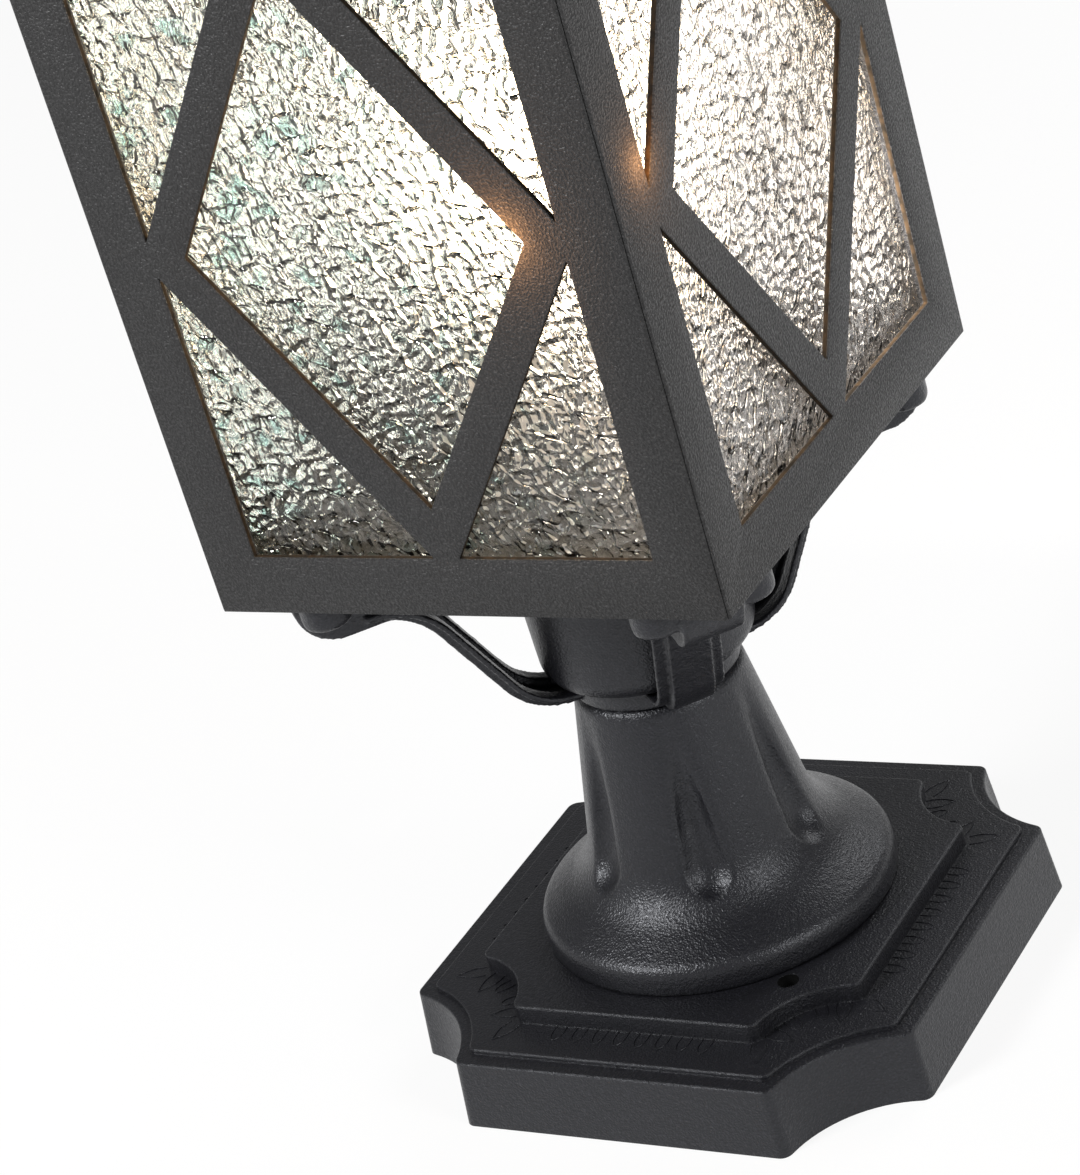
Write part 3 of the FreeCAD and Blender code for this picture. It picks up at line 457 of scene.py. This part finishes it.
def frosted_bulb():
    """Frosted glass lit from inside, brightest around the middle of the globe."""
    finish = Finish("frosted_bulb", Roughness=0.35, Emission_Strength=14.0)
    height = finish.node("SeparateXYZ", {"Vector": finish.place}).outputs["Z"]
    frost = finish.noise(3 * MM, detail=3)
    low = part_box("bulb")[0]
    lit = finish.span(height, 0.0, 1.0, low.z + 0.03, low.z + 0.06)
    glow = finish.ramp(finish.math("MULTIPLY", lit, finish.span(frost, 0.9, 1.1)),
                       (0.0, (0.25, 0.16, 0.08)), (0.9, tuple(colours().glow)))
    return finish.wire(Base_Color=finish.ramp(frost, (0.3, (0.9, 0.88, 0.82)), (0.7, (0.96, 0.94, 0.9))),
                       Emission_Color=glow)


def by_ray(tree, socket, camera, transmission, glossy, other):
    """Drive a socket by the kind of ray that sees it, the largest value counting."""
    path = tree.nodes.new("ShaderNodeLightPath")
    result = other
    for kind, value in (("Camera", camera), ("Transmission", transmission), ("Glossy", glossy)):
        part = tree.nodes.new("ShaderNodeMath")
        part.operation = "MULTIPLY"
        tree.links.new(path.outputs[f"Is {kind} Ray"], part.inputs[0])
        feed(tree.links, part.inputs[1], value)
        larger = tree.nodes.new("ShaderNodeMath")
        larger.operation = "MAXIMUM"
        tree.links.new(part.outputs[0], larger.inputs[0])
        feed(tree.links, larger.inputs[1], result)
        result = larger.outputs[0]
    tree.links.new(result, socket)


class PieceOperator(bpy.types.Operator):
    """Base of the operators that each make one piece or one group of like pieces."""
    bl_options = {"REGISTER", "UNDO"}

    def execute(self, context):
        self.make()
        return {"FINISHED"}


class LAMP_OT_castings(PieceOperator):
    """Coat the base, column, yoke, cup and finial"""
    bl_idname = "lamp.castings"
    bl_label = "Castings"

    def make(self):
        coat = casting_coat("casting_coat", soft_edges=False)
        for node in ("hub_cup", "finial"):
            coat_node(node, coat)
        self.base()
        self.yoke(coat)
        self.column(coat)

    def base(self):
        """Base whose anchor holes on one diagonal get near-black walls, painted shade."""
        offset, reach = 42 * MM, 4 * MM
        # Near-black colours for the walls of the anchor holes: painted shade where the holes look dark.
        hole_shade_dark, hole_shade_lighter = (0.0012, 0.0012, 0.0012), (0.003, 0.003, 0.003)
        base = copy_node("pier_base", "cast_base", plain=False)
        dress(shade(base), casting_coat("base_coat", soft_edges=True), "cast_black", "pier_base")
        # The faces of the anchor holes' walls get the near-black matte finish, painted shade.
        base.data.materials.append(painted_light_edge("hole_painted_shade", hole_shade_dark, hole_shade_lighter))
        holes = [Vector((turn * offset, -turn * offset)) for turn in (1, -1)]
        for face in base.data.polygons:
            inside = min((face.center.xy - hole).length for hole in holes) < reach
            face.material_index = int(inside and abs(face.normal.z) < 0.5)

    def yoke(self, coat):
        """Yoke with rounded edges and an uneven cast skin."""
        yoke = copy_node("yoke", "cast_yoke")
        modify(yoke, "REMESH", mode="VOXEL", voxel_size=sizes().yoke_grain)
        modify(yoke, "SMOOTH", factor=0.5, iterations=3)
        skin = bpy.data.textures.new("cast_skin", "CLOUDS")
        skin.noise_scale = 3.5 * MM
        modify(yoke, "DISPLACE", texture=skin, texture_coords="LOCAL", mid_level=0.5, strength=0.3 * MM)
        shade(yoke, 80)
        dress(yoke, coat, "cast_black", "yoke")

    def column(self, coat):
        """Column with soft flutes."""
        low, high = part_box("column")
        skirt, rim = 12 * MM, 8 * MM
        column = copy_node("column", "cast_column")
        modify(column, "REMESH", mode="VOXEL", voxel_size=sizes().column_grain)
        modify(column, "SMOOTH", factor=0.5, iterations=2)
        pick(column, lambda place: low.z + skirt < place.z < high.z - rim)
        bpy.ops.object.vertex_group_assign_new()
        leave()
        modify(column, "SMOOTH", factor=0.5, iterations=sizes().flute_softness,
               vertex_group=column.vertex_groups[0].name)
        column.vertex_groups.clear()
        self.carry_flutes(column, low.z)
        shade(column, 80)
        dress(column, coat, "cast_black", "column")

    def carry_flutes(self, column, foot):
        """Hollow the column's wall along its six flutes, inside and out, narrowing upwards."""
        low, high, low_fade, high_fade = 26, 78, 16, 30
        widest, wide_height, narrowing = 9.5, 30, 5 / 46
        wall_reach, step = 18 * MM, 60
        outside = column.vertex_groups.new(name="outside")
        inside = column.vertex_groups.new(name="inside")
        for vertex in column.data.vertices:
            place = vertex.co
            height = (place.z - foot) / MM
            if place.xy.length < wall_reach or not low < height < high:
                continue
            turn = (math.degrees(math.atan2(place.y, place.x)) + step / 2) % step - step / 2
            aside = math.radians(turn) * place.xy.length / MM
            half = widest - narrowing * (height - wide_height)
            ends = min(1, (height - low) / low_fade, (high - height) / high_fade)
            weight = ends * max(0, 1 - (aside / half) ** 2) ** 2
            group = outside if vertex.normal.xy.dot(place.xy) > 0 else inside
            if weight > 0:
                group.add([vertex.index], weight, "REPLACE")
        for group, sign in ((outside, -1), (inside, 1)):
            modify(column, "DISPLACE", vertex_group=group.name, direction="NORMAL", mid_level=0.0,
                   strength=sign * sizes().flute_depth)
        modify(column, "SMOOTH", factor=0.5, iterations=3)
        column.vertex_groups.clear()


class LAMP_OT_ornament(PieceOperator):
    """Model the leaf ornament on the base's ledge"""
    bl_idname = "lamp.ornament"
    bl_label = "Ledge ornament"

    def make(self):
        radius = sizes().bead_radius
        loop = [(-1.7, 0.2), (-1.75, 3.2), (-1.1, 5.6), (0.1, 6.6), (1.2, 5.4), (1.75, 3.2), (1.8, 0.2)]
        leaf = [(-2.1, 0.2), (-2.3, 3.5), (-1.4, 6.8), (0, 9.6), (1.4, 6.8), (2.3, 3.5), (2.1, 0.2)]
        loop = bead_line([(x * MM, -y * MM, 0) for x, y in loop], radius)
        leaf = bead_line([(x * MM, -y * MM, 0) for x, y in leaf], radius, sharp=(3,))
        ledge, wall, centre, scoop = 23.5 * MM, 64.5 * MM, 67 * MM, 26 * MM
        tip = centre - math.sqrt(scoop ** 2 - (centre - wall) ** 2)
        count, spacing = sizes().tick_count, 7.1 * MM
        places = [(loop, (spacing * (index - (count - 1) / 2), -wall), 0) for index in range(count)]
        places += [(leaf, (-tip, -wall), -22), (leaf, (tip, -wall), 22)]
        for turn, shape in ((-27, leaf), (-11, loop), (11, loop), (27, leaf)):
            angle = math.radians(135 + turn)
            places.append((shape, (centre + scoop * math.cos(angle), -centre + scoop * math.sin(angle)), 45 + turn))
        quarter = []
        for shape, (x, y), turn in places:
            select_only(shape)
            bpy.ops.object.duplicate(linked=False)
            copy = bpy.context.object
            copy.location = (x, y, ledge)
            copy.rotation_euler = (0, 0, math.radians(turn))
            quarter.append(settle(copy))
        quarter = join(quarter, "ledge_ornament")
        whole = [quarter] + [turned_copy(quarter, "ledge_ornament", turn) for _, turn in SIDES[1:]]
        ornament = outward(join(whole, "ledge_ornament"))
        for pattern in (loop, leaf):
            bpy.data.objects.remove(pattern)
        shade(ornament, 60)
        dress(ornament, bpy.data.materials["casting_coat"], "cast_black")


class LAMP_OT_panels(PieceOperator):
    """Soften the edges of the lattice panels and coat the sheet parts"""
    bl_idname = "lamp.panels"
    bl_label = "Panels and sheet parts"

    def make(self):
        coat = panel_coat()
        front = copy_node("side_panel_front", "lattice_front")
        modify(front, "BEVEL", width=sizes().edge_bevel, segments=2, limit_method="ANGLE",
               angle_limit=math.radians(30), miter_outer="MITER_PATCH")
        shade(front)
        panels = {"front": front}
        for side, turn in SIDES[1:]:
            panels[side] = turned_copy(front, "lattice_" + side, turn)
        # The reveals of the openings are matte cut edges, with a dark brownish tint that is painted warm lamplight.
        edge = painted_light_edge("painted_light_edge", (0.01, 0.008, 0.006), (0.03, 0.02, 0.012))
        for side, panel in panels.items():
            dress(panel, coat, "sheet_black", "side_panel_" + side)
            panel.data.materials.append(edge)
            through = 1 if side in ("front", "back") else 0
            for face in panel.data.polygons:
                face.material_index = int(abs(face.normal[through]) < 0.3)
        roof = copy_node("roof", "folded_roof")
        modify(roof, "BEVEL", width=1.4 * sizes().edge_bevel, segments=3, limit_method="ANGLE",
               angle_limit=math.radians(20))
        dress(shade(roof), coat, "sheet_black", "roof")
        for node in ["floor_plate", "top_frame"] + ["corner_post_" + corner for corner in CORNERS]:
            coat_node(node, coat)


class LAMP_OT_glass(PieceOperator):
    """Model the four rippled panes"""
    bl_idname = "lamp.glass"
    bl_label = "Rippled panes"

    def make(self):
        glass = rippled_glass()
        low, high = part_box("glass_pane_front")
        width, height, depth = high.x - low.x, high.z - low.z, high.y - low.y
        step = sizes().ripple_grid
        pane = add(bpy.ops.mesh.primitive_grid_add, x_subdivisions=round(width / step),
                   y_subdivisions=round(height / step), size=1)
        pane.scale = (width, height, 1)
        pane.rotation_euler = (math.radians(90), 0, 0)
        pane.location = ((low.x + high.x) / 2, low.y, (low.z + high.z) / 2)
        settle(pane)
        ripple = bpy.data.textures.new("ripple", "VORONOI")
        ripple.noise_scale = sizes().ripple_pitch
        ripple.distance_metric = "DISTANCE"
        modify(pane, "DISPLACE", texture=ripple, texture_coords="LOCAL", direction="Y", mid_level=0.0,
               strength=sizes().ripple_depth)
        edit(pane, "DESELECT")
        bpy.ops.mesh.select_non_manifold()
        bpy.ops.mesh.extrude_edges_move(TRANSFORM_OT_translate={"value": (0, depth, 0)})
        bpy.ops.transform.resize(value=(1, 0, 1), center_override=(0, high.y, 0))
        bpy.ops.mesh.edge_face_add()
        leave()
        outward(pane)
        shade(pane, 60)
        panes = {"front": pane}
        pane.name = pane.data.name = "rippled_pane_front"
        for side, turn in SIDES[1:]:
            panes[side] = turned_copy(pane, "rippled_pane_" + side, turn)
        for side, piece in panes.items():
            dress(piece, glass, "rippled_glass", "glass_pane_" + side)
            piece.visible_shadow = piece.visible_diffuse = False


class LAMP_OT_light_source(PieceOperator):
    """Dress the bulb, its holder and the fixings"""
    bl_idname = "lamp.light_source"
    bl_label = "Bulb, holder and fixings"

    def make(self):
        low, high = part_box("bulb")
        globe_radius, middle = high.x, high.z - high.x
        collar = low.z + 27.5 * MM
        outline = [(12.8 * MM, collar), (13.6 * MM, collar + 1 * MM), (14.2 * MM, collar + 7 * MM),
                   (16.4 * MM, collar + 16 * MM), (19.8 * MM, collar + 23.5 * MM)]
        for angle in range(-40, 90, 10):
            outline.append((globe_radius * math.cos(math.radians(angle)),
                            middle + globe_radius * math.sin(math.radians(angle))))
        outline.append((0.3 * MM, high.z))
        globe = shade(lathe("bulb_globe", outline), 60)
        frost = frosted_bulb()
        frost.cycles.emission_sampling = "NONE"
        dress(globe, frost, "bulb_glass", "bulb")
        globe.visible_shadow = False
        thread = [(4 * MM, low.z), (4.5 * MM, low.z + 1 * MM), (10 * MM, low.z + 4 * MM), (12.2 * MM, low.z + 5 * MM)]
        for turn in range(5):
            foot = low.z + (5.5 + 3.6 * turn) * MM
            thread += [(12.2 * MM, foot), (13.1 * MM, foot + 1.4 * MM), (13.1 * MM, foot + 1.9 * MM),
                       (12.2 * MM, foot + 3.2 * MM)]
        thread += [(13.0 * MM, collar - 2.5 * MM), (13.0 * MM, collar), (12.0 * MM, collar + 0.5 * MM)]
        cap = shade(lathe("bulb_cap", thread), 40)
        dress(cap, plated_steel(), "shell_brass")
        cap.visible_shadow = False
        coat_node("lamp_holder", glazed_holder())
        coat_node("screw_shell", plain_brass())
        steel = plated_steel()
        for node in ("roof_bar", "roof_stud", "roof_nut", "centre_nipple", "base_nut", "base_washer", "floor_nut",
                     "floor_washer", "post_screws"):
            coat_node(node, steel)


class LAMP_OT_stage(PieceOperator):
    """Lay the floor, set the lights and place the camera"""
    bl_idname = "lamp.stage"
    bl_label = "Studio"

    def make(self):
        self.floor()
        self.world()
        self.lights()
        self.camera()

    def floor(self):
        """White paper that keeps the lamp's shadow; its light depends on the ray that meets it."""
        seen, share, foot = 1.03, 0.86, 0.055
        floor = add(bpy.ops.mesh.primitive_plane_add, size=12)
        floor.name = "studio_floor"
        finish = Finish("studio_floor", Roughness=0.9)
        paper = finish.ramp(finish.noise(0.4, detail=1), (0.3, (0.8, 0.8, 0.8)), (0.7, (0.82, 0.82, 0.82)))
        finish.wire(Base_Color=paper)
        white = finish.node("Emission", {"Color": (1, 1, 1, 1)})
        spot = finish.node("SeparateXYZ", {"Vector": finish.place})
        behind = finish.math("ADD", spot.outputs["X"], spot.outputs["Y"])
        away = finish.node("VectorMath", {0: finish.place}, operation="LENGTH").outputs["Value"]
        through = finish.math("MULTIPLY", finish.span(away, 0.15, 0.66, 0.25, 0.95),
                              finish.span(behind, 1.0, 8.5, 0.04, 0.2))
        mirrored = finish.span(behind, 1.0, 1.4, 0.3, 0.6)
        by_ray(finish.material.node_tree, white.inputs["Strength"], seen, through, mirrored, 0.0)
        mix = finish.node("MixShader")
        clear = finish.math("MULTIPLY", finish.math("GREATER_THAN", away, foot), share)
        by_ray(finish.material.node_tree, mix.inputs["Fac"], clear, clear, clear, 0.0)
        finish.links.new(finish.surface.outputs[0], mix.inputs[1])
        finish.links.new(white.outputs[0], mix.inputs[2])
        finish.links.new(mix.outputs[0], finish.nodes["Material Output"].inputs["Surface"])
        finish.material.cycles.emission_sampling = "NONE"
        floor.data.materials.append(finish.material)

    def world(self):
        """White surroundings, dimmer in reflections and as a light."""
        world = bpy.data.worlds.new("studio")
        bpy.context.scene.world = world
        world.use_nodes = True
        background = world.node_tree.nodes["Background"]
        by_ray(world.node_tree, background.inputs["Strength"], 1.0, 1.0, 0.26, 0.14)
        background.inputs["Color"].default_value = (1, 1, 1, 1)

    def light(self, name, kind, power, place):
        """New light at a place."""
        data = bpy.data.lights.new(name, kind)
        data.energy = power
        light = bpy.data.objects.new(name, data)
        bpy.context.collection.objects.link(light)
        light.location = place
        return light

    def lights(self):
        """Three soft studio lights, the bulb's glow, and its flare on the bars and on the tray."""
        target = Vector((0, 0, 0.18))
        for name, place, size, power in (
                ("key", (-0.9, -1.3, 1.3), 0.5, 34),
                ("side", (1.7, -0.5, 0.9), 0.6, 14),
                ("rim", (0.3, 1.6, 1.4), 1.0, 12)):
            light = self.light(name, "AREA", power, place)
            light.data.size = size
            light.rotation_euler = (target - Vector(place)).to_track_quat("-Z", "Y").to_euler()
        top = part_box("bulb")[1]
        glow = self.light("bulb_glow", "POINT", 0.36, (0, 0, top.z - top.x))
        glow.data.color = colours().glow
        glow.data.shadow_soft_size = 1.22 * top.x
        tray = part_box("floor_plate")[1].z
        flame, white = (1.0, 0.48, 0.18), (1.0, 0.95, 0.9)
        for name, power, colour, place in (
                ("flare_front", 0.11, flame, (0.046, -0.088, 0.289)),
                ("flare_right", 0.05, flame, (0.088, -0.066, 0.300)),
                ("tray_glow", 1.1, white, (0.055, 0.045, tray + 0.045))):
            flare = self.light(name, "POINT", power, place)
            flare.data.color, flare.data.shadow_soft_size = colour, 3 * MM
            flare.visible_camera = flare.visible_glossy = flare.visible_transmission = False

    def camera(self):
        """Camera at the photo's viewing angle."""
        data = bpy.data.cameras.new("camera")
        data.lens = 110.735
        data.sensor_width = 36.0
        data.clip_start, data.clip_end = 0.01, 50
        camera = bpy.data.objects.new("camera", data)
        bpy.context.collection.objects.link(camera)
        camera.location = (0.53353, -0.78037, 0.61049)
        camera.rotation_euler = [math.radians(angle) for angle in (62.8049, 15.193, 28.2846)]
        bpy.context.scene.camera = camera
        bpy.context.scene.view_settings.view_transform = "Standard"


OPERATORS = (LAMP_OT_castings, LAMP_OT_ornament, LAMP_OT_panels, LAMP_OT_glass, LAMP_OT_light_source, LAMP_OT_stage)


class LAMP_PT_panel(bpy.types.Panel):
    """Sidebar list of the lamp's sizes, colours and pieces"""
    bl_label = "Post lamp"
    bl_idname = "LAMP_PT_panel"
    bl_space_type = "VIEW_3D"
    bl_region_type = "UI"
    bl_category = "Post lamp"

    def draw(self, context):
        for group in (context.scene.lamp_sizes, context.scene.lamp_colours):
            for name in group.__annotations__:
                self.layout.prop(group, name)
        for operator in OPERATORS:
            self.layout.operator(operator.bl_idname)


CLASSES = (LampSizes, LampColours, *OPERATORS, LAMP_PT_panel)


def register():
    for cls in CLASSES:
        bpy.utils.register_class(cls)
    bpy.types.Scene.lamp_sizes = PointerProperty(type=LampSizes)
    bpy.types.Scene.lamp_colours = PointerProperty(type=LampColours)


def unregister():
    del bpy.types.Scene.lamp_sizes
    del bpy.types.Scene.lamp_colours
    for cls in reversed(CLASSES):
        bpy.utils.unregister_class(cls)


def main():
    register()
    bpy.ops.lamp.castings()
    bpy.ops.lamp.ornament()
    bpy.ops.lamp.panels()
    bpy.ops.lamp.glass()
    bpy.ops.lamp.light_source()
    bpy.ops.lamp.stage()


if __name__ == "__main__":
    main()
